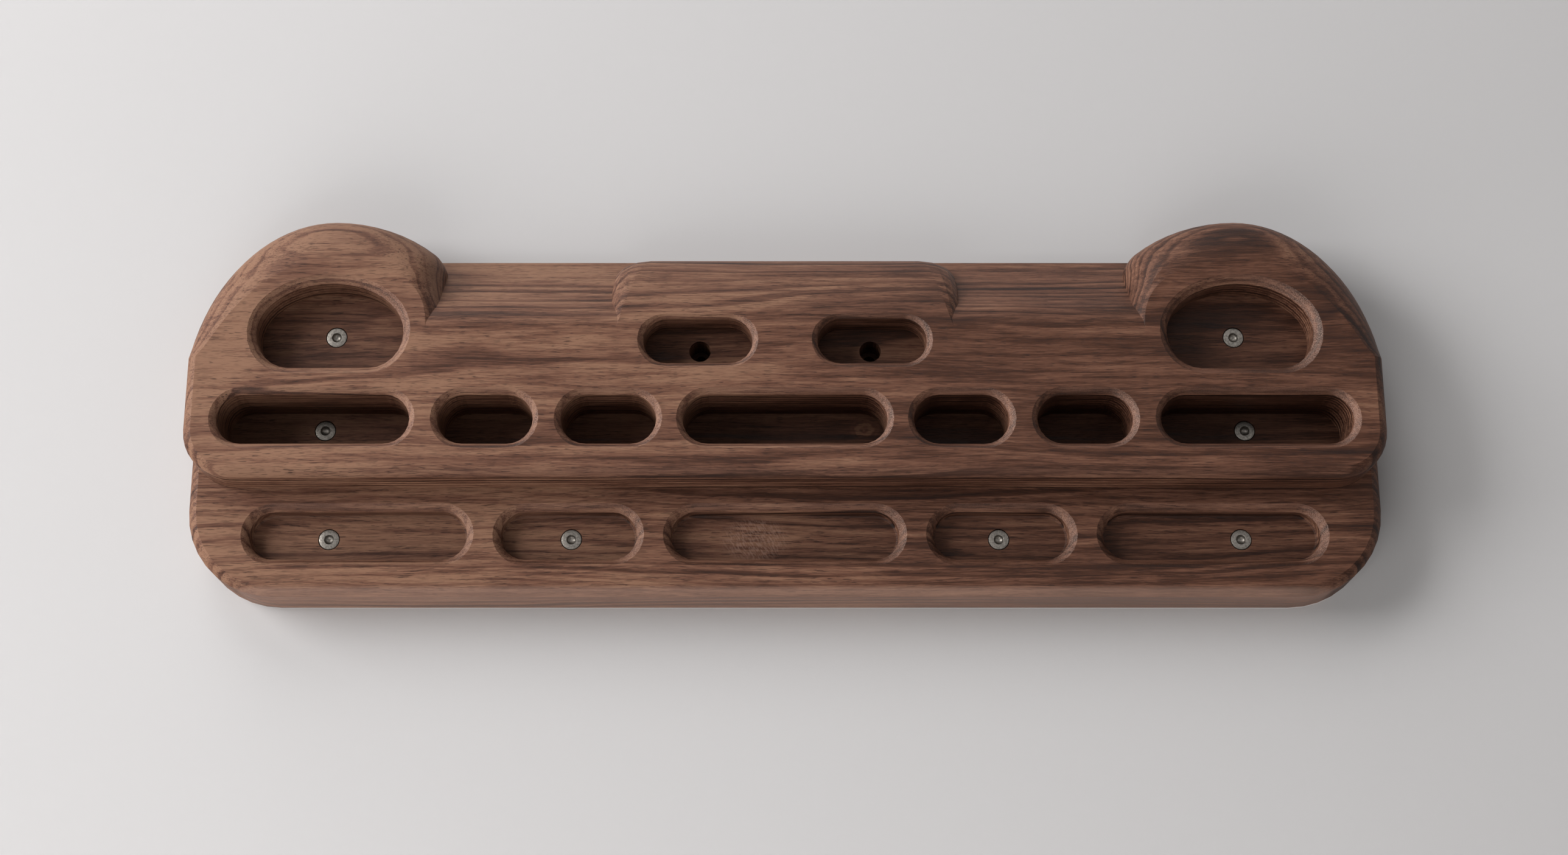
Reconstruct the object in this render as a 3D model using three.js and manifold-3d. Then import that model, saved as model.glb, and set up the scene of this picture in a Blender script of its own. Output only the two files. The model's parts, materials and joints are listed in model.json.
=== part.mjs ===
// Hangboard: two walnut planks glued face to face and shaped as one climbing board,
// with the eight steel screws that hold it to a wall.
// Millimetres, +Z up. The wall face is the plane y = 0 and the climber hangs on the -Y side.
// The origin is the middle of the wall face. Heights below are counted from the bottom edge.
import * as THREE from 'three';
import { mergeVertices } from 'three/addons/utils/BufferGeometryUtils.js';
import Module from 'manifold-3d';

// Overall sizes
const boardWidth = 610;
const backPlankThickness = 30;
const frontPlankThickness = 24;
const lowerCornerRadius = 45;
// Eased edges are flatter than a quarter round: they leave a face, and meet a wall, at an angle
const easedStartAngle = Math.PI / 8;
const outerEdgeRadius = 4.6;

// Upper tier, the part that stands forward of the lower one
const upperTierBottom = 56;
const upperTierCornerRadius = 25;

// Jug domes at the two top corners. From its crown the outline falls to the board's side in a
// quarter ellipse, and to the upright inner wall in a circle and a tighter corner.
const domeRise = 82.8;
const domeShoulderHeight = 119.2;
const domeOuterWidth = 69.4;
const domeInnerWidth = 57.3;
const domeInnerCornerRadius = 15;

// The domes' rounded front edge is narrow on the side, wide over the crown and narrow again
// at the foot of the inner wall, where the flat face ends on a squarish quarter oval
const crownEdge = 31;
const sideEdgeGrowthPower = 0.7;
const innerEdge = 5.9;
const innerEdgeStart = 146;
const innerFlatPower = 2.4;
const innerFlatStart = 136;

// Slopers between the domes and the centre block
const slopeAngle = Math.PI / 4;
const slopeTopHeight = 186.4;
const slopeTopLand = 10.1;
const slopeBlendRadius = 19;

// Centre block with its rolled top
const blockWidth = 180;
const blockRollRadius = 50.3;
const blockEndEdgeLow = 4;
const blockEndEdgeHigh = 11;
const blockEndEdgeGrowthPower = 0.5;
const blockEndReachLow = 4;
const blockEndReachHigh = 20;
const blockEndCreaseShare = 0.38;

// Middle row of deep slots
const deepSlotHeight = 26;
const deepSlotCentreHeight = 86.4;
const deepSlotDepth = 36;
const deepSlotMouth = 3.2;
const centreSlotWidth = 104;
const fingerSlotWidth = 48.5;
const endSlotWidth = 98;
const centreWeb = 13.3;
const deepSlotWeb = 14.1;

// Lower row of shallow slots
const lowSlotHeight = 25;
const lowSlotCentreHeight = 31.65;
const lowSlotDepth = 10;
const lowSlotMouth = 3.8;
const lowSlotFloorFillet = 1.4;
const lowCentreSlotWidth = 116.7;
const lowInnerSlotWidth = 69.6;
const lowOuterSlotWidth = 111;
const lowSlotWeb = 17.1;

// Two small pockets in the centre block
const smallPocketWidth = 56;
const smallPocketHeight = 24;
const smallPocketCentreHeight = 128.2;
const smallPocketOffset = 44.6;
const topPocketDepth = 20;
const smallPocketMouth = 3;

// Arched pockets in the domes
const archCentreOffset = 233.4;
const archWidth = 75.4;
const archBottom = 114.1;
const archWidestHeight = 133;
const archTop = 159.8;
const archCornerWidth = 17.2;
const archMouth = 4.1;

// Screws: a flat head sunk flush with a pocket floor, a plain shank and a thread core with a point
const headDiameter = 10.4;
const headThickness = 4;
const headRimChamfer = 0.5;
const dishMouthDiameter = 5.2;
const dishDiameter = 4.7;
const dishDepth = 2.15;
const dishLip = 0.25;
const screwLength = 60;
const shankDiameter = 6;
const shankLength = 22;
const threadCoreDiameter = 4.2;
const pointLength = 7;
const headClearance = 0.4;
const shankClearance = 0.35;

// Round drive dish in a head: shares of its radius and depth at the turn of its side into its bottom
const dishTurnShares = { radiusShare: 0.72, depthShare: 0.78 };

// Places of the screws, counted from the middle and from the bottom edge, and of the spare holes
const archScrewOffset = 232.9;
const archScrewHeight = 135.9;
const endScrewOffset = 239.2;
const endScrewHeight = 90.1;
const lowOuterScrewOffset = 233.7;
const lowInnerScrewOffset = 109.5;
const lowScrewHeight = 31.3;
const spareHoleOffset = 44.1;
const spareHoleDepth = 18;

// How far a cutter runs past the surface that it cuts, and how far joined bodies run into each other
const overrun = 2;
const buriedDepth = 30;

// Facets
const cornerFacets = 9;
const domeFacets = 20;
const crownFacets = 8;
const innerCornerFacets = 6;
const innerWallFacets = 6;
const domeEdgeFacets = 7;
const tierEdgeFacets = 4;
const rollFacets = 9;
const blockEdgeFacets = 4;
const slopeBlendFacets = 6;
const slotEndFacets = 12;
const archFacets = 20;
const archCornerFacets = 6;
const mouthFacets = 3;
const floorFacets = 2;
const holeFacets = 20;
const screwFacets = 16;

// Places that follow from the sizes above
const boardDepth = backPlankThickness + frontPlankThickness;
const halfWidth = boardWidth / 2;
const boardHeight = domeShoulderHeight + domeRise;
const seamY = -backPlankThickness;
const frontY = -boardDepth;
const domeCentreX = halfWidth - domeOuterWidth;
const domeInnerX = domeCentreX - domeInnerWidth;
const quarter = Math.PI / 2;

const wasm = await Module();
wasm.setup();

// A closed mesh as a solid that can be joined and cut
function solidOf(geometry) {
  const bare = geometry.clone();
  bare.deleteAttribute('normal');
  bare.deleteAttribute('uv');
  const merged = mergeVertices(bare);
  const index = merged.index.array;
  const mesh = new wasm.Mesh({
    numProp: 3,
    vertProperties: new Float32Array(merged.attributes.position.array),
    triVerts: new Uint32Array(index),
  });
  return new wasm.Manifold(mesh);
}

function geometryOf(solid) {
  const mesh = solid.getMesh();
  const geometry = new THREE.BufferGeometry();
  geometry.setAttribute('position', new THREE.BufferAttribute(new Float32Array(mesh.vertProperties), 3));
  geometry.setIndex(new THREE.BufferAttribute(new Uint32Array(mesh.triVerts), 1));
  geometry.computeVertexNormals();
  return geometry;
}

const joined = (solids) => solids.reduce((total, solid) => total.add(solid));
const cut = (body, cutters) => cutters.reduce((total, cutter) => total.subtract(cutter), body);

// One point of an outline: its place, the outward direction there, and its rounded edge as the
// way in to the flat face, the depth and the start angle. At a square corner the direction is the
// sum of its two sides' directions.
const outlinePoint = (a, b, na, nb, edge, startAngle = easedStartAngle) =>
  ({ a, b, na, nb, inA: -na * edge, inB: -nb * edge, depth: edge, startAngle });

// Points along an elliptic arc, with the outward directions of the ellipse
function arcPoints(centreA, centreB, radiusA, radiusB, start, end, facets, edgeAt, startAt) {
  const points = [];
  for (let i = 0; i <= facets; i += 1) {
    const angle = start + ((end - start) * i) / facets;
    const a = centreA + radiusA * Math.cos(angle);
    const b = centreB + radiusB * Math.sin(angle);
    const slopeA = Math.cos(angle) / radiusA;
    const slopeB = Math.sin(angle) / radiusB;
    const size = Math.hypot(slopeA, slopeB);
    points.push(outlinePoint(a, b, slopeA / size, slopeB / size, edgeAt(a, b), startAt?.(a, b)));
  }
  return points;
}

// The same outline seen in a mirror: the other half of a symmetric one, in running order
const mirrored = (points) =>
  points.map((p) => ({ ...p, a: -p.a, na: -p.na, inA: -p.inA })).reverse();

// A closed body through a row of rings. Each ring holds one [a, b, c] for each outline point,
// and place turns those three into x, y and z. Its first and last rings are closed by flat caps.
function loft(rings, place, flip) {
  const count = rings[0].length;
  const vertices = rings.flatMap((ring) => ring.flatMap(([a, b, c]) => place(a, b, c)));
  const faces = [];
  const capOf = (ring) =>
    THREE.ShapeUtils.triangulateShape(ring.map(([a, b]) => new THREE.Vector2(a, b)), []);
  const last = (rings.length - 1) * count;
  capOf(rings[0]).forEach(([i, j, k]) => faces.push([i, k, j]));
  capOf(rings[rings.length - 1]).forEach(([i, j, k]) => faces.push([last + i, last + j, last + k]));
  for (let r = 0; r + 1 < rings.length; r += 1) {
    for (let i = 0; i < count; i += 1) {
      const next = (i + 1) % count;
      const low = r * count;
      const high = low + count;
      faces.push([low + i, low + next, high + next], [low + i, high + next, high + i]);
    }
  }
  const geometry = new THREE.BufferGeometry();
  geometry.setAttribute('position', new THREE.Float32BufferAttribute(vertices, 3));
  geometry.setIndex(faces.flatMap(([i, j, k]) => (flip ? [i, k, j] : [i, j, k])));
  return solidOf(geometry);
}

// Outlines in the board's face are drawn in x and height and run back from the climber's side
const facePlace = (a, b, c) => [a, c, b];
// Outlines in the board's side view are drawn in y and height and run along its width
const sidePlace = (a, b, c) => [c, a, b];

// A place on a round from a face to a wall: shares of the edge's width along the face and of its
// depth. A start angle of zero gives a quarter round.
function roundStep(share, startAngle) {
  const endAngle = quarter - startAngle;
  const angle = startAngle + (endAngle - startAngle) * share;
  const reach = Math.cos(startAngle) - Math.cos(endAngle);
  return {
    alongShare: (Math.sin(endAngle) - Math.sin(angle)) / reach,
    depthShare: (Math.cos(startAngle) - Math.cos(angle)) / reach,
  };
}

const sharesOf = (facets) => Array.from({ length: facets + 1 }, (_, i) => i / facets);

// A slab whose front edge is rounded by each outline point's own edge
function roundedSlab(outline, frontC, backC, facets) {
  const rings = sharesOf(facets).map((share) => outline.map((p) => {
    const { alongShare, depthShare } = roundStep(share, p.startAngle);
    return [p.a + p.inA * alongShare, p.b + p.inB * alongShare, frontC + p.depth * depthShare];
  }));
  rings.push(outline.map((p) => [p.a, p.b, backC]));
  return loft(rings, facePlace, true);
}

// A bar along the width with both its ends rounded by each outline point's own edge
function roundedBar(outline, length, facets) {
  const half = length / 2;
  const endRings = (side) => sharesOf(facets).map((share) => outline.map((p) => {
    const { alongShare, depthShare } = roundStep(share, p.startAngle);
    return [p.a + p.inA * alongShare, p.b + p.inB * alongShare, side * (half - p.depth * depthShare)];
  }));
  return loft([...endRings(-1), ...endRings(1).reverse()], sidePlace, false);
}

// A cutter for a pocket: a mouth that flares to the face in an eased edge, a straight wall and a
// floor, with a fillet round it where one is given
function pocketCutter(outline, faceC, depth, mouth, floorFillet) {
  const ring = (offset, c) => outline.map((p) => [p.a + p.na * offset, p.b + p.nb * offset, c]);
  const rings = [ring(mouth, faceC - overrun)];
  sharesOf(mouthFacets).forEach((share) => {
    const { alongShare, depthShare } = roundStep(share, easedStartAngle);
    rings.push(ring(mouth * alongShare, faceC + mouth * depthShare));
  });
  if (floorFillet > 0) {
    sharesOf(floorFacets).reverse().forEach((share) => {
      const { alongShare, depthShare } = roundStep(share, 0);
      rings.push(ring(-floorFillet * alongShare, faceC + depth - floorFillet * depthShare));
    });
  } else {
    rings.push(ring(0, faceC + depth));
  }
  return loft(rings, facePlace, true);
}

// Outline of a slot with round ends
function slotOutline(centreX, height, width, centreHeight) {
  const radius = height / 2;
  const reach = width / 2 - radius;
  const noEdge = () => 0;
  const end = (x, start) =>
    arcPoints(x, centreHeight, radius, radius, start, start + Math.PI, slotEndFacets, noEdge);
  return [...end(centreX + reach, -quarter), ...end(centreX - reach, quarter)];
}

// Gives the points of a dome's inner side their rounded edge: each is joined to the point of the
// flat face's oval end that lies in the same direction from the oval's centre
function withInnerEdge(points, fullHeight) {
  const reachA = domeInnerWidth - innerEdge;
  const reachB = boardHeight - crownEdge - innerFlatStart;
  return points.map((p) => {
    const away = Math.atan2(Math.max(0, p.b - innerFlatStart), p.a - domeCentreX);
    const shareA = Math.abs(Math.cos(away)) / reachA;
    const shareB = Math.sin(away) / reachB;
    const reach = (shareA ** innerFlatPower + shareB ** innerFlatPower) ** (-1 / innerFlatPower);
    const limitA = domeCentreX + reach * Math.cos(away);
    const limitB = Math.min(p.b, innerFlatStart) + reach * Math.sin(away);
    const grownShare = THREE.MathUtils.clamp((p.b - innerEdgeStart) / (fullHeight - innerEdgeStart), 0, 1);
    const depth = innerEdge + (crownEdge - innerEdge) * grownShare;
    const startAngle = easedStartAngle * (1 - grownShare);
    return { ...p, inA: limitA - p.a, inB: limitB - p.b, depth, startAngle };
  });
}

// Front view of the upper tier with its two domes, from the middle of the bottom edge to the right.
// The valley between the domes is drawn low, inside the slopers' body.
function upperTierOutline() {
  const valley = upperTierBottom + buriedDepth;
  const sideEdge = () => outerEdgeRadius;
  const riseShareOf = (height) => Math.max(0, (height - domeShoulderHeight) / domeRise);
  const outerDomeEdge = (a, b) =>
    outerEdgeRadius + (crownEdge - outerEdgeRadius) * riseShareOf(b) ** sideEdgeGrowthPower;
  const outerDomeStart = (a, b) => easedStartAngle * (1 - riseShareOf(b));
  const cornerX = halfWidth - upperTierCornerRadius;
  const cornerHeight = upperTierBottom + upperTierCornerRadius;
  // The tighter inner corner touches the crown's circle from inside and the upright inner wall
  const apart = domeRise - domeInnerCornerRadius;
  const tightX = domeInnerX + domeInnerCornerRadius;
  const tightHeight = domeShoulderHeight + Math.sqrt(apart ** 2 - (domeCentreX - tightX) ** 2);
  const turn = Math.atan2(tightHeight - domeShoulderHeight, tightX - domeCentreX);
  const innerSide = [
    ...arcPoints(domeCentreX, domeShoulderHeight, domeRise, domeRise,
      quarter, turn, crownFacets, sideEdge).slice(1),
    ...arcPoints(tightX, tightHeight, domeInnerCornerRadius, domeInnerCornerRadius,
      turn, Math.PI, innerCornerFacets, sideEdge).slice(1),
  ];
  for (let i = 1; i <= innerWallFacets; i += 1) {
    const height = tightHeight + ((innerFlatStart - tightHeight) * i) / innerWallFacets;
    innerSide.push(outlinePoint(domeInnerX, height, -1, 0, innerEdge));
  }
  const half = [
    ...arcPoints(cornerX, cornerHeight, upperTierCornerRadius, upperTierCornerRadius,
      -quarter, 0, cornerFacets, sideEdge),
    ...arcPoints(domeCentreX, domeShoulderHeight, domeOuterWidth, domeRise,
      0, quarter, domeFacets, outerDomeEdge, outerDomeStart),
    ...withInnerEdge(innerSide, tightHeight),
    outlinePoint(domeInnerX, valley, -1, 1, innerEdge),
  ];
  return [...half, ...mirrored(half)];
}

// Front view of the lower tier, closed by a line inside the upper one
function lowerTierOutline() {
  const cornerX = halfWidth - lowerCornerRadius;
  const top = upperTierBottom + upperTierCornerRadius + buriedDepth / 2;
  const plainEdge = () => outerEdgeRadius;
  const half = [
    ...arcPoints(cornerX, lowerCornerRadius, lowerCornerRadius, lowerCornerRadius,
      -quarter, 0, cornerFacets, plainEdge),
    outlinePoint(halfWidth, top, 1, 1, outerEdgeRadius),
  ];
  return [...half, ...mirrored(half)];
}

// Side view of the slopers: wall face, narrow land, slope, convex blend and front face
function slopeBody() {
  const rise = Math.tan(slopeAngle);
  const foot = slopeTopHeight - (boardDepth - slopeTopLand) * rise;
  const blendStart = foot - slopeBlendRadius * Math.tan(slopeAngle / 2);
  const bottom = upperTierBottom + buriedDepth / 2;
  const blend = arcPoints(frontY + slopeBlendRadius, blendStart, slopeBlendRadius, slopeBlendRadius,
    Math.PI - slopeAngle, Math.PI, slopeBlendFacets, () => 0);
  const profile = [
    [0, bottom],
    [0, slopeTopHeight],
    [-slopeTopLand, slopeTopHeight],
    ...blend.map((p) => [p.a, p.b]),
    [frontY, bottom],
  ];
  const section = (x) => profile.map(([y, height]) => [y, height, x]);
  return loft([section(-domeCentreX), section(domeCentreX)], sidePlace, false);
}

// Centre block: the front face rolls over into the top. Both ends have a rounded edge that reaches
// further along the block as it rises, and its crease runs out a little above the roll's start.
function blockBody() {
  const bottom = upperTierBottom + buriedDepth / 2;
  const rollCentreHeight = slopeTopHeight - blockRollRadius;
  const rollShareOf = (height) => Math.max(0, (height - rollCentreHeight) / blockRollRadius);
  const edgeAt = (a, b) =>
    blockEndEdgeLow + (blockEndEdgeHigh - blockEndEdgeLow) * rollShareOf(b) ** blockEndEdgeGrowthPower;
  const startAt = (a, b) => easedStartAngle * Math.max(0, 1 - rollShareOf(b) / blockEndCreaseShare);
  const reachOf = (height) =>
    blockEndReachLow + (blockEndReachHigh - blockEndReachLow) * rollShareOf(height);
  const outline = [
    outlinePoint(0, bottom, 0, -1, blockEndEdgeLow),
    outlinePoint(0, slopeTopHeight, 0, 1, blockEndEdgeHigh, 0),
    ...arcPoints(frontY + blockRollRadius, rollCentreHeight, blockRollRadius, blockRollRadius,
      quarter, Math.PI, rollFacets, edgeAt, startAt),
    outlinePoint(frontY, bottom, -1, -1, blockEndEdgeLow),
  ];
  const reaching = outline.map((p) => ({ ...p, depth: reachOf(p.b) }));
  return roundedBar(reaching, blockWidth, blockEdgeFacets);
}

// Arched pocket of a dome: a flat bottom, two wide lower corners and a half ellipse
function archOutline(centreX) {
  const half = archWidth / 2;
  const cornerHeight = archWidestHeight - archBottom;
  const noEdge = () => 0;
  const corner = (x, start) => arcPoints(x, archWidestHeight, archCornerWidth, cornerHeight,
    start, start + quarter, archCornerFacets, noEdge);
  return [
    ...corner(centreX + half - archCornerWidth, -quarter),
    ...arcPoints(centreX, archWidestHeight, half, archTop - archWidestHeight,
      0, Math.PI, archFacets, noEdge).slice(1, -1),
    ...corner(centreX - half + archCornerWidth, Math.PI),
  ];
}

// A round hole along the depth
function holeCutter(x, height, diameter, startY, endY) {
  const geometry = new THREE.CylinderGeometry(diameter / 2, diameter / 2, endY - startY, holeFacets);
  geometry.translate(x, (startY + endY) / 2, height);
  return solidOf(geometry);
}

// A stepped screw hole from a pocket floor through to the wall face
function screwHoleCutters(x, height, floorY, seatDepth) {
  const seatY = floorY + seatDepth;
  return [
    holeCutter(x, height, headDiameter + 2 * headClearance, floorY - overrun, seatY),
    holeCutter(x, height, shankDiameter + 2 * shankClearance, seatY - overrun, overrun),
  ];
}

// Places of the slots along each row, from the middle to the right
const fingerSlotInner = centreSlotWidth / 2 + centreWeb + fingerSlotWidth / 2;
const fingerSlotOuter = fingerSlotInner + fingerSlotWidth + deepSlotWeb;
const endSlotOffset = fingerSlotOuter + fingerSlotWidth / 2 + deepSlotWeb + endSlotWidth / 2;
const lowInnerOffset = lowCentreSlotWidth / 2 + lowSlotWeb + lowInnerSlotWidth / 2;
const lowOuterOffset = lowInnerOffset + lowInnerSlotWidth / 2 + lowSlotWeb + lowOuterSlotWidth / 2;

const deepFloorY = frontY + deepSlotDepth;
const lowFloorY = seamY + lowSlotDepth;
const topFloorY = frontY + topPocketDepth;

function pocketCutters() {
  const deep = (x, width) => pocketCutter(
    slotOutline(x, deepSlotHeight, width, deepSlotCentreHeight), frontY, deepSlotDepth, deepSlotMouth, 0);
  const low = (x, width) => pocketCutter(
    slotOutline(x, lowSlotHeight, width, lowSlotCentreHeight),
    seamY, lowSlotDepth, lowSlotMouth, lowSlotFloorFillet);
  const small = (x) => pocketCutter(
    slotOutline(x, smallPocketHeight, smallPocketWidth, smallPocketCentreHeight),
    frontY, topPocketDepth, smallPocketMouth, 0);
  const arch = (x) => pocketCutter(archOutline(x), frontY, topPocketDepth, archMouth, 0);
  const cutters = [deep(0, centreSlotWidth), low(0, lowCentreSlotWidth)];
  for (const side of [-1, 1]) {
    cutters.push(
      deep(side * fingerSlotInner, fingerSlotWidth),
      deep(side * fingerSlotOuter, fingerSlotWidth),
      deep(side * endSlotOffset, endSlotWidth),
      low(side * lowInnerOffset, lowInnerSlotWidth),
      low(side * lowOuterOffset, lowOuterSlotWidth),
      small(side * smallPocketOffset),
      arch(side * archCentreOffset),
    );
  }
  return cutters;
}

// The eight screws, each by the pocket that it sits in
const screwPlaces = [-1, 1].flatMap((side) => {
  const name = side < 0 ? 'left' : 'right';
  const at = (spot, offset, height, floorY) =>
    ({ node: `screw_${spot}_${name}`, x: side * offset, height, floorY });
  return [
    at('arch_pocket', archScrewOffset, archScrewHeight, topFloorY),
    at('end_slot', endScrewOffset, endScrewHeight, deepFloorY),
    at('low_outer', lowOuterScrewOffset, lowScrewHeight, lowFloorY),
    at('low_inner', lowInnerScrewOffset, lowScrewHeight, lowFloorY),
  ];
});

function holeCutters() {
  const used = screwPlaces.flatMap(({ x, height, floorY }) =>
    screwHoleCutters(x, height, floorY, headThickness));
  const spare = [-1, 1].flatMap((side) =>
    screwHoleCutters(side * spareHoleOffset, smallPocketCentreHeight, topFloorY, spareHoleDepth));
  return [...used, ...spare];
}

// A block in front of the glue seam or behind it, larger than the whole board
function halfSpace(nearY, farY) {
  const margin = overrun;
  const geometry = new THREE.BoxGeometry(boardWidth + 2 * margin, farY - nearY, boardHeight + 2 * margin);
  geometry.translate(0, (nearY + farY) / 2, boardHeight / 2);
  return solidOf(geometry);
}

// Screw turned about its own axis: y = 0 is the face of the head and the point lies along +Y
function screwGeometry() {
  const headRadius = headDiameter / 2;
  const profile = [
    [0, dishDepth],
    [(dishDiameter / 2) * dishTurnShares.radiusShare, dishDepth * dishTurnShares.depthShare],
    [dishDiameter / 2, dishLip],
    [dishMouthDiameter / 2, 0],
    [headRadius - headRimChamfer, 0],
    [headRadius, headRimChamfer],
    [headRadius, headThickness],
    [shankDiameter / 2, headThickness],
    [shankDiameter / 2, headThickness + shankLength],
    [threadCoreDiameter / 2, headThickness + shankLength + (shankDiameter - threadCoreDiameter) / 2],
    [threadCoreDiameter / 2, screwLength - pointLength],
    [0, screwLength],
  ];
  const geometry = new THREE.LatheGeometry(
    profile.map(([radius, along]) => new THREE.Vector2(radius, along)), screwFacets);
  return geometryOf(solidOf(geometry));
}

const walnut = (name) => new THREE.MeshStandardMaterial({ name, color: 0x7c5d4e, roughness: 0.62, metalness: 0 });
const steel = () => new THREE.MeshStandardMaterial({
  name: 'zinc_steel', color: 0xb9b4ab, roughness: 0.38, metalness: 1,
});

function boards() {
  const upper = joined([
    roundedSlab(upperTierOutline(), frontY, 0, domeEdgeFacets),
    slopeBody(),
    blockBody(),
  ]);
  const lower = roundedSlab(lowerTierOutline(), seamY, 0, tierEdgeFacets);
  const cutters = [...pocketCutters(), ...holeCutters()];
  const front = cut(upper.intersect(halfSpace(frontY - overrun, seamY)), cutters);
  const back = cut(upper.intersect(halfSpace(seamY, overrun)).add(lower), cutters);
  const frontBoard = new THREE.Mesh(geometryOf(front), walnut('walnut_front'));
  frontBoard.name = 'front_board';
  const backBoard = new THREE.Mesh(geometryOf(back), walnut('walnut_back'));
  backBoard.name = 'back_board';
  return [backBoard, frontBoard];
}

function screws() {
  return screwPlaces.map(({ node, x, height, floorY }) => {
    const mesh = new THREE.Mesh(screwGeometry(), steel());
    mesh.name = node;
    mesh.position.set(x, floorY, height);
    return mesh;
  });
}

const hangboard = new THREE.Group();
hangboard.position.z = -boardHeight / 2;
hangboard.add(...boards(), ...screws());

export default hangboard;
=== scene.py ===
import json
import math

import bmesh
import bpy
from mathutils import Matrix, Vector


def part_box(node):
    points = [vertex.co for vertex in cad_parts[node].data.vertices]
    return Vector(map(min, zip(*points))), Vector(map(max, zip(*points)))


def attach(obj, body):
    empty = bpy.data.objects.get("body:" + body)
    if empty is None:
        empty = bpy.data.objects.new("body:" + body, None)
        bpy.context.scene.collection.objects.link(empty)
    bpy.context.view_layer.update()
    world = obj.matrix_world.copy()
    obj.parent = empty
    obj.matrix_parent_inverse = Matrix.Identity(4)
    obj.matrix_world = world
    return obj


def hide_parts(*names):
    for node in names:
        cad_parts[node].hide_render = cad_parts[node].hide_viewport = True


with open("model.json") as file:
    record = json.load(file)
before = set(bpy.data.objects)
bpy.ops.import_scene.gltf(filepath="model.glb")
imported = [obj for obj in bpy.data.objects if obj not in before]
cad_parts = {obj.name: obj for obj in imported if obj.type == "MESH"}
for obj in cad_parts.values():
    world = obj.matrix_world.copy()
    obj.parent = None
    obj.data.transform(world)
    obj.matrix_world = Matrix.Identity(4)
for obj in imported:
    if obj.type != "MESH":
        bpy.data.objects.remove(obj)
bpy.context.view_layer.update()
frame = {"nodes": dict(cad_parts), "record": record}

# The board itself: two walnut planks glued face to face and carved as one. The back plank carries
# the lower row of slots and is flat behind, the front plank carries the deep slots. Both are milled,
# sanded and wiped with oil, so the figure runs on from one to the other.
crease_angle = math.radians(17)
same_corner = 1e-6
mouth_depth = 0.0042
deepest_slot = 0.036
least_depth = 1e-5
least_from_back = 0.001
least_inward = -1e-6

# A stated opening is only as wide as the hand's way in. These are the lengths in metres by which a
# slot goes past it: at its round ends, at its straight sides, and over the crown of the high ones.
slots = [opening["box_m"] for opening in frame["record"]["physics"]["openings"]]
round_end_reach = 0.0145
straight_side_reach = 0.007
arch_reach = 0.0155
arch_height = 0.03


def slot_marks(face):
    """How far a face lies in a slot or pocket, from nought outside to one at the deepest floor, and
    whether it lies on a slot's mouth. A face that looks away from a slot's middle belongs to the
    board's outside."""
    place = face.calc_center_median()
    for low, high in slots:
        above = arch_reach if high[2] - low[2] > arch_height else straight_side_reach
        beside = low[0] - round_end_reach < place.x < high[0] + round_end_reach
        within = beside and low[2] - straight_side_reach < place.z < high[2] + above
        inward = Vector(((low[0] + high[0]) / 2 - place.x, 0, (low[2] + high[2]) / 2 - place.z))
        depth = place.y - low[1]
        carved = least_depth < depth and place.y < -least_from_back
        if within and carved and face.normal.dot(inward) > least_inward:
            if depth < mouth_depth:
                return (0.0, 1.0)
            return (math.sqrt(min(1.0, depth / deepest_slot)), 0.0)
    return (0.0, 0.0)


def shade_smoothly(shape, crease):
    """Shades the faces smoothly, with a crease where two of them meet at more than an angle."""
    for face in shape.faces:
        face.smooth = True
    for edge in shape.edges:
        edge.smooth = len(edge.link_faces) == 2 and edge.calc_face_angle() < crease


def add_object(name, data):
    """Puts a new object in the scene."""
    added = bpy.data.objects.new(name, data)
    bpy.context.scene.collection.objects.link(added)
    return added


def carved_board(node):
    """The CAD shape of a board with its triangles joined, its rounds shaded smooth, and the mouths
    and insides of its slots marked: the mouths for lifted fibres and painted light, the insides for
    painted shade and the contour lines on the round ends."""
    board = add_object(node + "_wood", frame["nodes"][node].data.copy())
    shape = bmesh.new()
    shape.from_mesh(board.data)
    bmesh.ops.remove_doubles(shape, verts=shape.verts, dist=same_corner)
    shade_smoothly(shape, crease_angle)
    in_slot = shape.faces.layers.float.new("in_slot")
    on_mouth = shape.faces.layers.float.new("on_mouth")
    for face in shape.faces:
        face[in_slot], face[on_mouth] = slot_marks(face)
    shape.to_mesh(board.data)
    shape.free()
    evened = board.modifiers.new("flat_faces_stay_flat", "WEIGHTED_NORMAL")
    evened.mode = "FACE_AREA"
    evened.keep_sharp = True
    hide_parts(node)
    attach(board, "root")
    return board


back_board = carved_board("back_board")
front_board = carved_board("front_board")


def tone(hex_colour):
    """An sRGB hex colour as a linear colour with alpha."""
    levels = [int(hex_colour[i:i + 2], 16) / 255 for i in (1, 3, 5)]
    return [v / 12.92 if v <= 0.04045 else ((v + 0.055) / 1.055) ** 2.4 for v in levels] + [1.0]


def add_node(tree, kind, *inputs, **more):
    """Adds a node and returns its outputs. Inputs go to the sockets in their order, and more holds
    the node's settings, or sockets by name with _ for a space, or by number after in_. A socket
    takes a value or another node's output."""
    node = tree.nodes.new("ShaderNode" + kind)
    given = dict(enumerate(inputs))
    for name, value in more.items():
        if name.startswith("in_"):
            given[int(name[3:])] = value
        elif name[0].isupper():
            given[name.replace("_", " ")] = value
        else:
            setattr(node, name, value)
    for socket, value in given.items():
        if isinstance(value, bpy.types.NodeSocket):
            tree.links.new(value, node.inputs[socket])
        else:
            node.inputs[socket].default_value = value
    return node.outputs


def new_material(name):
    """A material with an empty node tree, and that tree."""
    material = bpy.data.materials.new(name)
    material.use_nodes = True
    tree = material.node_tree
    tree.nodes.clear()
    return material, tree


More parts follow.
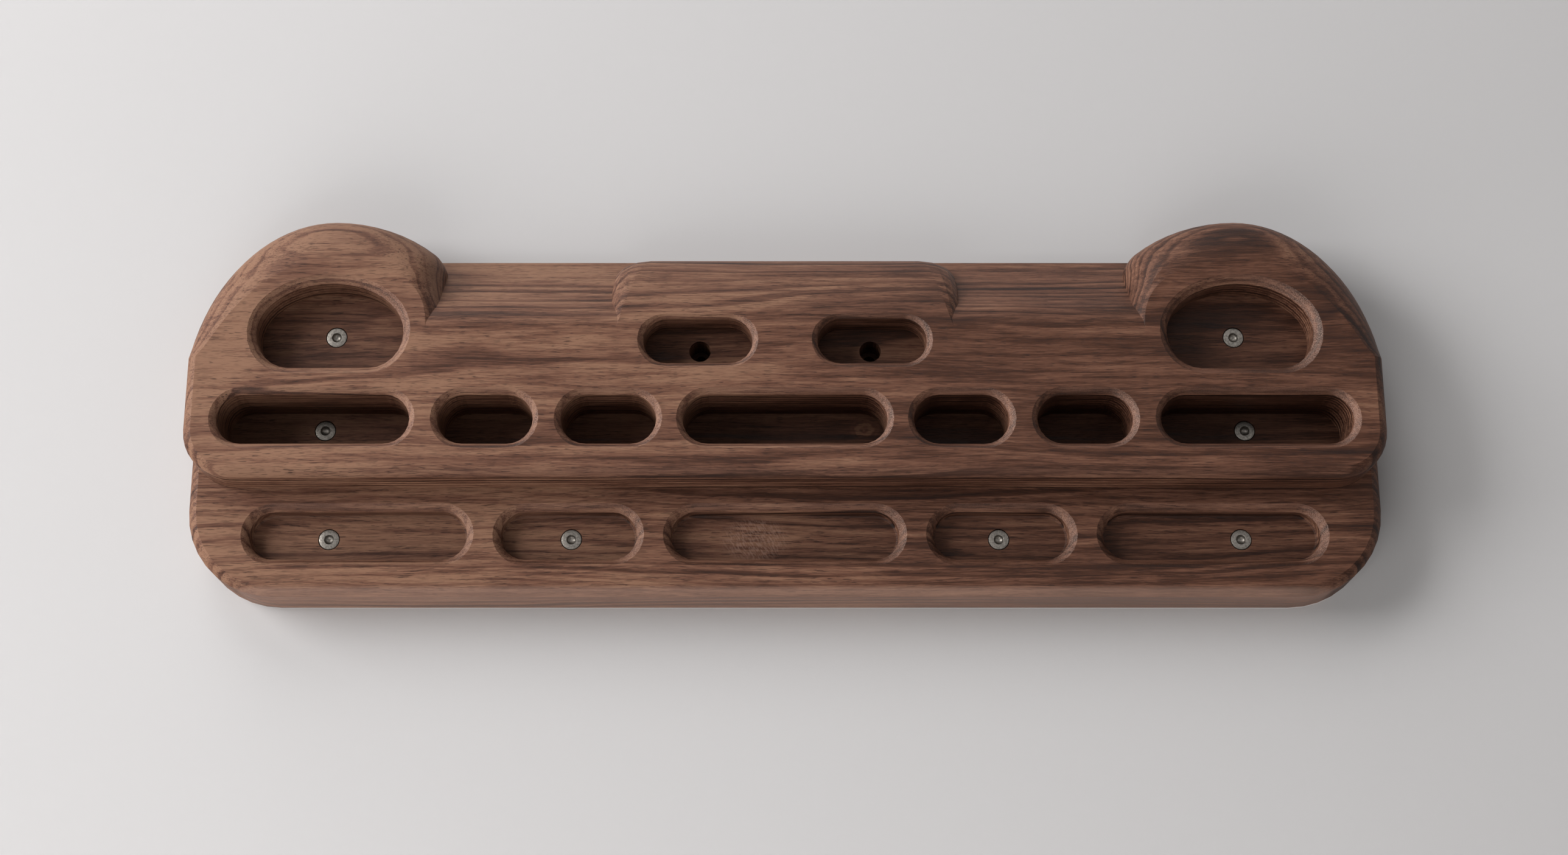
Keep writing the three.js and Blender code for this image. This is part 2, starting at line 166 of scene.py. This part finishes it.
# Black walnut, flat sawn, sanded fine and oiled. The log's heart lay behind the board, so the growth
# layers lie nearly along the face: long wavy bands on the flats, nested ovals on the domes and
# contour lines where an end is cut. Pores show as fine dark dashes along the board.
walnut, wood = new_material("oiled_black_walnut")
surface_point = add_node(wood, "TexCoord")
in_mm = add_node(wood, "VectorMath", surface_point["Object"], operation="SCALE", Scale=1000)[0]
axes = add_node(wood, "SeparateXYZ", in_mm)
facing = add_node(wood, "SeparateXYZ", surface_point["Normal"])

# Map Range runs smoothly between two values, and noise runs from about 0.3 to 0.7
smooth = {"interpolation_type": "SMOOTHSTEP"}


def grain_noise(lengths, detail=2.0, roughness=0.5, place=in_mm, shift=(0, 0, 0)):
    """Noise whose patches are about as long as given in mm along x, y and z."""
    moved = add_node(wood, "Mapping", place, Location=shift, Scale=[1 / length for length in lengths])[0]
    return add_node(wood, "TexNoise", moved, Scale=1.0, Detail=detail, Roughness=roughness)[0]


def set_tones(ramp_colour, *tones):
    """Gives a colour ramp its tones, each a position and a hex colour, first and last at its ends."""
    stops = ramp_colour.node.color_ramp.elements
    while len(stops) < len(tones):
        stops.new(0.5)
    for stop, (position, colour) in zip(stops, tones):
        stop.position = position
    for stop, (position, colour) in zip(stops, tones):
        stop.color = tone(colour)


# Distance in mm from the log's heart, bent by slow and quick wander of the layers. The heart lies
# behind the board's back and above its middle.
heart_behind_back = 90
heart_above_middle = 38
slow_bend = 26
quick_bend = 5
slow_wander = grain_noise((430, 110, 90), detail=1.0)
quick_wander = grain_noise((120, 26, 22), shift=(3, 7, 1))
depth_from_heart = add_node(wood, "Math", axes[1], heart_behind_back, operation="SUBTRACT")[0]
height_from_heart = add_node(wood, "Math", axes[2], heart_above_middle, operation="SUBTRACT")[0]
across = add_node(wood, "CombineXYZ", 0, depth_from_heart, height_from_heart)[0]
from_heart = add_node(wood, "VectorMath", across, operation="LENGTH")["Value"]
bent_slowly = add_node(wood, "Math", slow_wander, slow_bend, from_heart, operation="MULTIPLY_ADD")[0]
layer_place = add_node(wood, "Math", quick_wander, quick_bend, bent_slowly, operation="MULTIPLY_ADD")[0]

# One growth layer: pale early wood that darkens slowly, then a thin dark line of its own strength.
# Real layers are 1 to 4 mm apart.
layer_thickness = 3.2
line_start, line_end = 0.25, 0.86
layers = add_node(wood, "Math", layer_place, layer_thickness, operation="DIVIDE")[0]
layer_number = add_node(wood, "Math", layers, operation="FLOOR")[0]
layer_share = add_node(wood, "Math", layers, operation="FRACT")[0]
layer_draw = add_node(wood, "TexWhiteNoise", W=layer_number, noise_dimensions="1D")[0]
layer_strength = add_node(wood, "Math", layer_draw, 0.9, operation="POWER")[0]
darkening = add_node(wood, "MapRange", layer_share, line_start, line_end, 0, 1, **smooth)[0]
next_layer = add_node(wood, "MapRange", layer_share, line_end, 1, 1, 0, **smooth)[0]
layer_line = add_node(wood, "Math", darkening, next_layer, operation="MULTIPLY")[0]
late_wood = add_node(wood, "Math", layer_line, layer_strength, operation="MULTIPLY")[0]

# Broad dark heartwood bands that follow the layers, and slow changes of tone along the plank
band_place = add_node(wood, "CombineXYZ", axes[0], layer_place, axes[2])[0]
bands = grain_noise((150, 3.6, 90), detail=3.0, roughness=0.66, place=band_place)
dark_bands = add_node(wood, "MapRange", bands, 0.42, 0.66, 0, 1, **smooth)[0]
slow_tone = grain_noise((96, 30, 19), detail=3.0, shift=(5, 1, 8))

# Fibre streaks, coarse and fine, and pores, all along fibres that wave a little
fibre_wave = 9
waving = grain_noise((150, 34, 30), detail=1.0, shift=(2, 2, 6))
fibre_height = add_node(wood, "Math", waving, fibre_wave, axes[2], operation="MULTIPLY_ADD")[0]
fibre_place = add_node(wood, "CombineXYZ", axes[0], axes[1], fibre_height)[0]
broad_streaks = grain_noise((52, 3.0, 2.5), detail=4.0, roughness=0.64, place=fibre_place,
                            shift=(1, 4, 2))
streaks = grain_noise((15, 0.7, 0.6), detail=3.0, roughness=0.7, place=fibre_place)
pore_noise = grain_noise((6.0, 0.36, 0.32), detail=1.0, place=fibre_place, shift=(9, 2, 4))
pores = add_node(wood, "MapRange", pore_noise, 0.57, 0.64, 0, 1, **smooth)[0]
pore_crowding = add_node(wood, "MapRange", broad_streaks, 0.35, 0.6, 0.35, 1, **smooth)[0]
pore_share = add_node(wood, "Math", pores, pore_crowding, operation="MULTIPLY")[0]

# Marks of this one board: a small knot in the floor of the middle slot, a patch of short ripples
# where the cutter chattered in the floor of the low middle slot, and a chip on the mouth above
knot_place = (41.0, -18.0, -10.6)
knot_reach = (8.125, 6.5, 6.5)
knot_rings = 4.2
ripple_place = (-15.5, -20.0, -69.8)
ripple_reach = (19.0, 4.0, 13.0)
ripple_slant = 0.55
chip_place = (0.3, -53.4, -0.6)
chip_reach = (0.75, 0.75, 0.75)


def distance_from(place, reach):
    """The distance from a place in mm, in shares of the reach along each axis."""
    moved = add_node(wood, "VectorMath", in_mm, place, operation="SUBTRACT")[0]
    scaled = add_node(wood, "VectorMath", moved, reach, operation="DIVIDE")[0]
    return add_node(wood, "VectorMath", scaled, operation="LENGTH")["Value"]


from_knot = add_node(wood, "Math", grain_noise((5, 5, 5)), 0.7, distance_from(knot_place, knot_reach),
                     operation="MULTIPLY_ADD")[0]
ring_angle = add_node(wood, "Math", from_knot, knot_rings * math.pi, operation="MULTIPLY")[0]
ring_wave = add_node(wood, "Math", ring_angle, operation="SINE")[0]
knot_tone = add_node(wood, "Math", ring_wave, 0.24, -0.4, operation="MULTIPLY_ADD")[0]
in_knot = add_node(wood, "MapRange", from_knot, 0.75, 1.45, 1, 0, **smooth)[0]
knot_share = add_node(wood, "Math", in_knot, knot_tone, operation="MULTIPLY")[0]

leaning = add_node(wood, "Math", axes[2], ripple_slant, axes[0], operation="MULTIPLY_ADD")[0]
slanted = add_node(wood, "CombineXYZ", leaning, axes[1], axes[2])[0]
ripple_noise = grain_noise((1.0, 4.0, 2.3), detail=1.0, place=slanted)
ripples = add_node(wood, "MapRange", ripple_noise, 0.42, 0.62, 0, 1, **smooth)[0]
from_ripples = distance_from(ripple_place, ripple_reach)
in_ripples = add_node(wood, "MapRange", from_ripples, 0.55, 1.05, 1, 0, **smooth)[0]
ripple_share = add_node(wood, "Math", in_ripples, ripples, operation="MULTIPLY")[0]
from_chip = distance_from(chip_place, chip_reach)
chip_share = add_node(wood, "MapRange", from_chip, 0.5, 1, 1, 0, **smooth)[0]

# How far the surface faces the front, how far it is the round end of a slot, and how much of the
# layers shows there: a cut across them shows them as sharp contour lines
to_front = add_node(wood, "Math", facing[1], operation="ABSOLUTE")[0]
to_side = add_node(wood, "Math", facing[0], operation="ABSOLUTE")[0]
in_slot = add_node(wood, "Attribute", attribute_name="in_slot")["Fac"]
on_mouth = add_node(wood, "Attribute", attribute_name="on_mouth")["Fac"]
round_end = add_node(wood, "MapRange", to_side, 0.2, 0.9, 0, 1, **smooth)[0]
on_round_end = add_node(wood, "Math", in_slot, round_end, operation="MULTIPLY")[0]
end_line = add_node(wood, "Math", late_wood, 0.7, -0.26, operation="MULTIPLY_ADD")[0]
on_steep = add_node(wood, "MapRange", to_front, 0.2, 0.65, 0.95, 0.62, **smooth)[0]
on_flat = add_node(wood, "MapRange", to_front, 0.93, 0.995, 0, 0.26, **smooth)[0]
across_layers = add_node(wood, "Math", on_steep, on_flat, operation="SUBTRACT")[0]
band_depth = add_node(wood, "MapRange", to_front, 0.7, 0.97, 0.19, 0.24, **smooth)[0]

# The share of dark: the slow changes of the wood, the darker right-hand end (partly darker wood, partly
# painted shade), the paler left-hand end and paler top (painted light), the knot, the contour lines, the
# layers, the bands and the streaks
dark_shares = [
    add_node(wood, "MapRange", slow_tone, 0.32, 0.68, -0.08, 0.18, **smooth)[0],
    # Darker towards the right-hand end: partly darker wood, partly painted shade away from the lamp
    add_node(wood, "MapRange", axes[0], -180, 215, 0, 0.28, **smooth)[0],
    # Painted light: the left-hand end paler, as if lit from the left
    add_node(wood, "MapRange", axes[0], -290, -170, -0.07, 0, **smooth)[0],
    # Painted light: the top paler, as if lit from above
    add_node(wood, "MapRange", axes[2], 38, 88, 0, -0.11, **smooth)[0],
    knot_share,
    add_node(wood, "Math", on_round_end, end_line, operation="MULTIPLY")[0],
    add_node(wood, "Math", late_wood, across_layers, operation="MULTIPLY")[0],
    add_node(wood, "Math", dark_bands, band_depth, operation="MULTIPLY")[0],
    add_node(wood, "MapRange", broad_streaks, 0.43, 0.72, -0.06, 0.25, **smooth)[0],
    add_node(wood, "MapRange", streaks, 0.3, 0.7, -0.12, 0.16, **smooth)[0],
]
dark_share = dark_shares[0]
for share in dark_shares[1:]:
    dark_share = add_node(wood, "Math", dark_share, share, operation="ADD")[0]
ground = add_node(wood, "ValToRGB", dark_share)[0]
set_tones(ground, (0.0, "#82604c"), (0.3, "#654435"), (0.62, "#41271b"), (1.0, "#22120c"))
pore_cover = add_node(wood, "Math", pore_share, 0.75, operation="MULTIPLY")[0]
with_pores = add_node(wood, "Mix", pore_cover, data_type="RGBA", in_6=ground, in_7=tone("#24140e"))[2]

# Painted shade inside the slots: the wood is darkened more the deeper it lies, less so on the
# floors, and not on the round ends
on_floor = add_node(wood, "MapRange", to_front, 0.9, 0.99, 1, 0.5, **smooth)[0]
not_round_end = add_node(wood, "Math", 1, round_end, operation="SUBTRACT")[0]
painted_shade_on_walls = add_node(wood, "Math", not_round_end, on_floor, operation="MULTIPLY")[0]
painted_shade_in_slot = add_node(wood, "Math", in_slot, painted_shade_on_walls, operation="MULTIPLY")[0]
# Painted shade: the wood inside the slots is multiplied darker
with_painted_shade = add_node(wood, "Mix", painted_shade_in_slot, data_type="RGBA", blend_type="MULTIPLY", in_6=with_pores,
                  in_7=tone("#a2958d"))[2]

# The slots' mouths: fibres that the cutter lifted, paler and speckled, with painted light making them
# palest at the right-hand ends, which look to the left. The lower edge is painted paler: painted light
# from below.
lit_right_hand_end = add_node(wood, "MapRange", facing[0], -0.7, 0, 1, 0.1, **smooth)[0]
torn_and_lit = add_node(wood, "Math", on_mouth, lit_right_hand_end, operation="MULTIPLY")[0]
speck_noise = grain_noise((0.5, 0.3, 0.3), detail=1.0)
specks = add_node(wood, "MapRange", speck_noise, 0.4, 0.67, 0.05, 0.56, **smooth)[0]
# Painted light: the lower edge paler, as if lit from below
lit_lower_edge = add_node(wood, "MapRange", axes[2], -98.6, -95.6, 0.36, 0, **smooth)[0]
raised_and_lit = add_node(wood, "Math", torn_and_lit, specks, lit_lower_edge, operation="MULTIPLY_ADD")[0]
raised_and_lit = add_node(wood, "Math", ripple_share, 0.24, raised_and_lit, operation="MULTIPLY_ADD")[0]
raised_and_lit = add_node(wood, "Math", raised_and_lit, chip_share, operation="ADD", use_clamp=True)[0]
# The pale tone: lifted fibres, ripples and the chip, and painted light on the right-hand ends and the
# lower edge
surface_colour = add_node(wood, "Mix", raised_and_lit, data_type="RGBA", in_6=with_painted_shade, in_7=tone("#a38577"))[2]

# Sanded wood's relief: fibre ridges of a few hundredths of a millimetre and open pores, drawn a
# little deeper than they are so that they show. Where the wood is dark it is denser and shines more.
relief_height = 0.00012
pore_pits = add_node(wood, "Math", pore_share, -0.9, operation="MULTIPLY")[0]
fibre_relief = add_node(wood, "Math", streaks, 0.5, pore_pits, operation="MULTIPLY_ADD")[0]
relief = add_node(wood, "Math", raised_and_lit, 1.2, fibre_relief, operation="MULTIPLY_ADD")[0]
relief_normal = add_node(wood, "Bump", Strength=0.55, Distance=relief_height, Height=relief)[0]
oil_sheen = add_node(wood, "MapRange", dark_share, 0, 0.8, 0.62, 0.5, **smooth)[0]
wood_shader = add_node(wood, "BsdfPrincipled", surface_colour, Roughness=oil_sheen, Normal=relief_normal,
                       IOR=1.5, Specular_IOR_Level=0.18)[0]
add_node(wood, "OutputMaterial", wood_shader)

for board, slot_name in ((back_board, "walnut_back"), (front_board, "walnut_front")):
    board.data.materials.clear()
    board.data.materials.append(walnut)

# Eight wood screws that hold the board up: turned steel, bright zinc plated, with a flat head sunk
# flush in the floor of a pocket or slot, a round drive dish, a plain shank, a rolled thread whose
# roots sink into the core, and a point.
head_radius = 0.0052
head_thickness = 0.004
rim_chamfer = 0.0005
dish_radius = 0.00235
dish_lip = 0.00025
dish_depth = 0.0019
dish_steps = 8
shank_radius = 0.003
shank_end = 0.026
neck_length = 0.0009
core_radius = 0.0021
thread_radius = 0.003
thread_pitch = 0.0026
thread_start = 0.0275
root_radius = core_radius * 0.9
root_half_width = 0.0007
crest_half_width = 0.0001
turn_left_out = 0.4
thread_steps = 20
least_thread = 0.06
point_start = 0.053
screw_length = 0.06
turn_steps = 40
screw_crease = math.radians(35)


def turned(shape, corners, steps):
    """Turns a row of corners, each a radius and a place along +Y, round the Y axis."""
    row = [shape.verts.new((radius, along, 0)) for radius, along in corners]
    edges = [shape.edges.new(pair) for pair in zip(row, row[1:])]
    bmesh.ops.spin(shape, geom=row + edges, cent=(0, 0, 0), axis=(0, 1, 0), dvec=(0, 0, 0),
                   angle=math.tau, steps=steps, use_merge=True)
    bmesh.ops.remove_doubles(shape, verts=shape.verts, dist=same_corner)


def screw_body():
    """The screw with its head's face at y = 0 and its point along +Y."""
    shape = bmesh.new()
    dish = [(dish_radius * math.sin(angle), dish_depth * math.cos(angle) + dish_lip)
            for angle in (math.radians(90 * step / dish_steps) for step in range(dish_steps + 1))]
    turned(shape, dish + [
        (dish_radius + dish_lip, 0),
        (head_radius - rim_chamfer, 0),
        (head_radius - rim_chamfer * 0.25, rim_chamfer * 0.3),
        (head_radius, rim_chamfer),
        (head_radius, head_thickness),
        (shank_radius, head_thickness),
        (shank_radius, shank_end),
        (core_radius, shank_end + neck_length),
        (core_radius, point_start),
        (0, screw_length),
    ], turn_steps)
    return shape


def add_thread(shape):
    """A helical ridge along the core that thins out over the point and ends short of it."""
    turns = (screw_length - thread_start) / thread_pitch - turn_left_out
    steps = int(turns * thread_steps)
    ridge = [
        shape.verts.new((root_radius, thread_start - root_half_width, 0)),
        shape.verts.new((thread_radius, thread_start - crest_half_width, 0)),
        shape.verts.new((thread_radius, thread_start + crest_half_width, 0)),
        shape.verts.new((root_radius, thread_start + root_half_width, 0)),
    ]
    face = shape.faces.new(ridge)
    before = set(shape.verts) - set(ridge)
    bmesh.ops.spin(shape, geom=[face] + list(face.edges) + ridge, cent=(0, 0, 0), axis=(0, 1, 0),
                   dvec=(0, turns * thread_pitch / steps, 0), angle=-math.tau * turns, steps=steps)
    thins_from = point_start - thread_pitch
    for corner in shape.verts:
        if corner not in before and corner.co.y > thins_from:
            share = (screw_length - corner.co.y) / (screw_length - thins_from)
            share = min(1.0, max(least_thread, share))
            corner.co.x *= share
            corner.co.z *= share


def mesh_of(shape, name):
    """A mesh of a finished shape, which is freed."""
    mesh = bpy.data.meshes.new(name)
    shape.to_mesh(mesh)
    shape.free()
    return mesh


# Zinc plate on turned steel: a soft grey metal, cloudy where it has dulled, with the faint rings of
# the header's tool on the head. The rings lie a quarter of a millimetre apart: 26 radians to a mm.
plated_steel, steel = new_material("zinc_plated_steel")
ring_turning = 26
plate_relief = 0.00006
steel_point = add_node(steel, "TexCoord")["Object"]
steel_mm = add_node(steel, "VectorMath", steel_point, operation="SCALE", Scale=1000)[0]
clouds = add_node(steel, "TexNoise", steel_mm, Scale=1.1, Detail=4.0, Roughness=0.6)[0]
grit = add_node(steel, "TexNoise", steel_mm, Scale=7.0, Detail=2.0)[0]
radius_mm = add_node(steel, "Attribute", attribute_name="from_axis")["Fac"]
ring_angle = add_node(steel, "Math", radius_mm, ring_turning, operation="MULTIPLY")[0]
tool_rings = add_node(steel, "Math", ring_angle, operation="SINE")[0]
plate = add_node(steel, "ValToRGB", clouds)[0]
set_tones(plate, (0.35, "#625e58"), (0.62, "#8a847d"))
steel_relief = add_node(steel, "Math", tool_rings, 0.12, grit, operation="MULTIPLY_ADD")[0]
steel_normal = add_node(steel, "Bump", Strength=0.35, Distance=plate_relief, Height=steel_relief)[0]
dullness = add_node(steel, "MapRange", clouds, 0.3, 0.7, 0.52, 0.38)[0]
steel_shader = add_node(steel, "BsdfPrincipled", plate, Metallic=1.0, Roughness=dullness,
                        Normal=steel_normal)[0]
add_node(steel, "OutputMaterial", steel_shader)

for node in sorted(name for name in frame["nodes"] if name.startswith("screw_")):
    low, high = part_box(node)
    head_face = Vector(((low.x + high.x) / 2, low.y, (low.z + high.z) / 2))
    shape = screw_body()
    add_thread(shape)
    from_axis = shape.verts.layers.float.new("from_axis")
    for corner in shape.verts:
        corner[from_axis] = math.hypot(corner.co.x, corner.co.z) * 1000
    shade_smoothly(shape, screw_crease)
    bmesh.ops.recalc_face_normals(shape, faces=shape.faces)
    bmesh.ops.translate(shape, verts=shape.verts, vec=head_face)
    screw = add_object(node + "_steel", mesh_of(shape, node + "_steel"))
    screw.data.materials.append(plated_steel)
    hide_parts(node)
    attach(screw, "root")

# The stage: an upright backdrop behind the board and a floor below, both in pale matt paint, which
# keeps a soft shadow. The backdrop is open where the board's back is, so that a lamp reaches the
# back too, and clear from behind. Two patches close the view through the spare screw holes.
backdrop_gap = 0.0003
stage_size = 5.0
floor_height = -1.35
spare_hole = (0.0441, 0, 0.0272)
patch_radius = 0.007

back_face = bmesh.new()
back_face.from_mesh(frame["nodes"]["back_board"].data)
bmesh.ops.remove_doubles(back_face, verts=back_face.verts, dist=same_corner)
not_back = [face for face in back_face.faces
            if face.normal.y < 0.999 or face.calc_center_median().y < -least_depth]
bmesh.ops.delete(back_face, geom=not_back, context="FACES")
outline = []
corner = max(back_face.verts, key=lambda vert: vert.co.x)
while corner:
    outline.append(corner)
    beside = [edge.other_vert(corner) for edge in corner.link_edges if len(edge.link_faces) == 1]
    corner = next((vert for vert in beside if vert not in outline), None)

backdrop_shape = bmesh.new()
outer_corners = [(x * stage_size, 0, z * stage_size) for x, z in ((-1, -1), (1, -1), (1, 1), (-1, 1))]
for places in ([vert.co for vert in outline], outer_corners):
    corners = [backdrop_shape.verts.new(place) for place in places]
    for corner, following in zip(corners, corners[1:] + corners[:1]):
        backdrop_shape.edges.new((corner, following))
back_face.free()
bmesh.ops.triangle_fill(backdrop_shape, edges=list(backdrop_shape.edges), use_beauty=True,
                        normal=(0, -1, 0))
for side in (-1, 1):
    at_hole = Matrix.Translation((side * spare_hole[0], spare_hole[1], spare_hole[2]))
    bmesh.ops.create_circle(backdrop_shape, cap_ends=True, segments=24, radius=patch_radius,
                            matrix=at_hole @ Matrix.Rotation(math.pi / 2, 4, "X"))
for face in backdrop_shape.faces:
    if face.normal.y > 0:
        face.normal_flip()
bmesh.ops.translate(backdrop_shape, verts=backdrop_shape.verts, vec=(0, backdrop_gap, 0))

floor_shape = bmesh.new()
bmesh.ops.create_grid(floor_shape, x_segments=1, y_segments=1, size=stage_size,
                      matrix=Matrix.Translation((0, 0, floor_height)))

stage = []
for name, shape, colour in (("backdrop", backdrop_shape, "#c3c1c1"),
                            ("floor", floor_shape, "#d8d6d3")):
    paint, coat = new_material("pale_paint_on_" + name)
    shown = add_node(coat, "BsdfDiffuse", tone(colour))[0]
    clear = add_node(coat, "BsdfTransparent")[0]
    from_behind = add_node(coat, "NewGeometry")["Backfacing"]
    add_node(coat, "OutputMaterial", add_node(coat, "MixShader", from_behind, shown, clear)[0])
    stage.append(add_object(name, mesh_of(shape, name)))
    stage[-1].data.materials.append(paint)


# Four soft boxes: the main one far to the left, a weaker one above, a weak one below for the light
# that a floor throws back, and one behind for the board's back
def soft_lamp(name, place, size, power):
    """A square soft box aimed at the board."""
    light = bpy.data.lights.new(name, "AREA")
    light.shape = "SQUARE"
    light.size = size
    light.energy = power
    lamp = add_object(name, light)
    lamp.location = place
    lamp.rotation_euler = (-Vector(place)).to_track_quat("-Z", "Y").to_euler()


soft_lamp("side_light", (-2.7, -1.58, 0.75), 1.8, 117)
soft_lamp("top_light", (-0.8, -1.0, 1.9), 1.5, 27)
soft_lamp("low_light", (-0.4, -0.65, -1.28), 1.3, 14)
soft_lamp("back_light", (0.9, 1.6, 0.7), 1.2, 45)

# The surroundings: a weak even light, which is nearly white where it is seen or mirrored
world_light = 0.15
sky = bpy.data.worlds.new("pale_surroundings")
bpy.context.scene.world = sky
sky.use_nodes = True
air = sky.node_tree
air.nodes.clear()
rays = add_node(air, "LightPath")
seen = add_node(air, "Math", rays["Is Camera Ray"], rays["Is Glossy Ray"], operation="MAXIMUM")[0]
seen = add_node(air, "Math", seen, rays["Is Transmission Ray"], operation="MAXIMUM")[0]
level = add_node(air, "MapRange", seen, 0, 1, world_light, 1)[0]
add_node(air, "OutputWorld", add_node(air, "Background", tone("#eeeeef"), level)[0])

# The camera stands low in front of the middle of the board and looks up at it by 17 degrees
lens = bpy.data.cameras.new("photo_view")
lens.sensor_width = 36
lens.lens = 54.507
lens.shift_x = -0.00066
looks_up = 0.295
camera = add_object("photo_view", lens)
camera.location = (0, -1.20075, -0.36845)
camera.rotation_euler = (math.pi / 2 + looks_up, 0, 0)
bpy.context.scene.camera = camera
bpy.context.scene.view_settings.view_transform = "Standard"
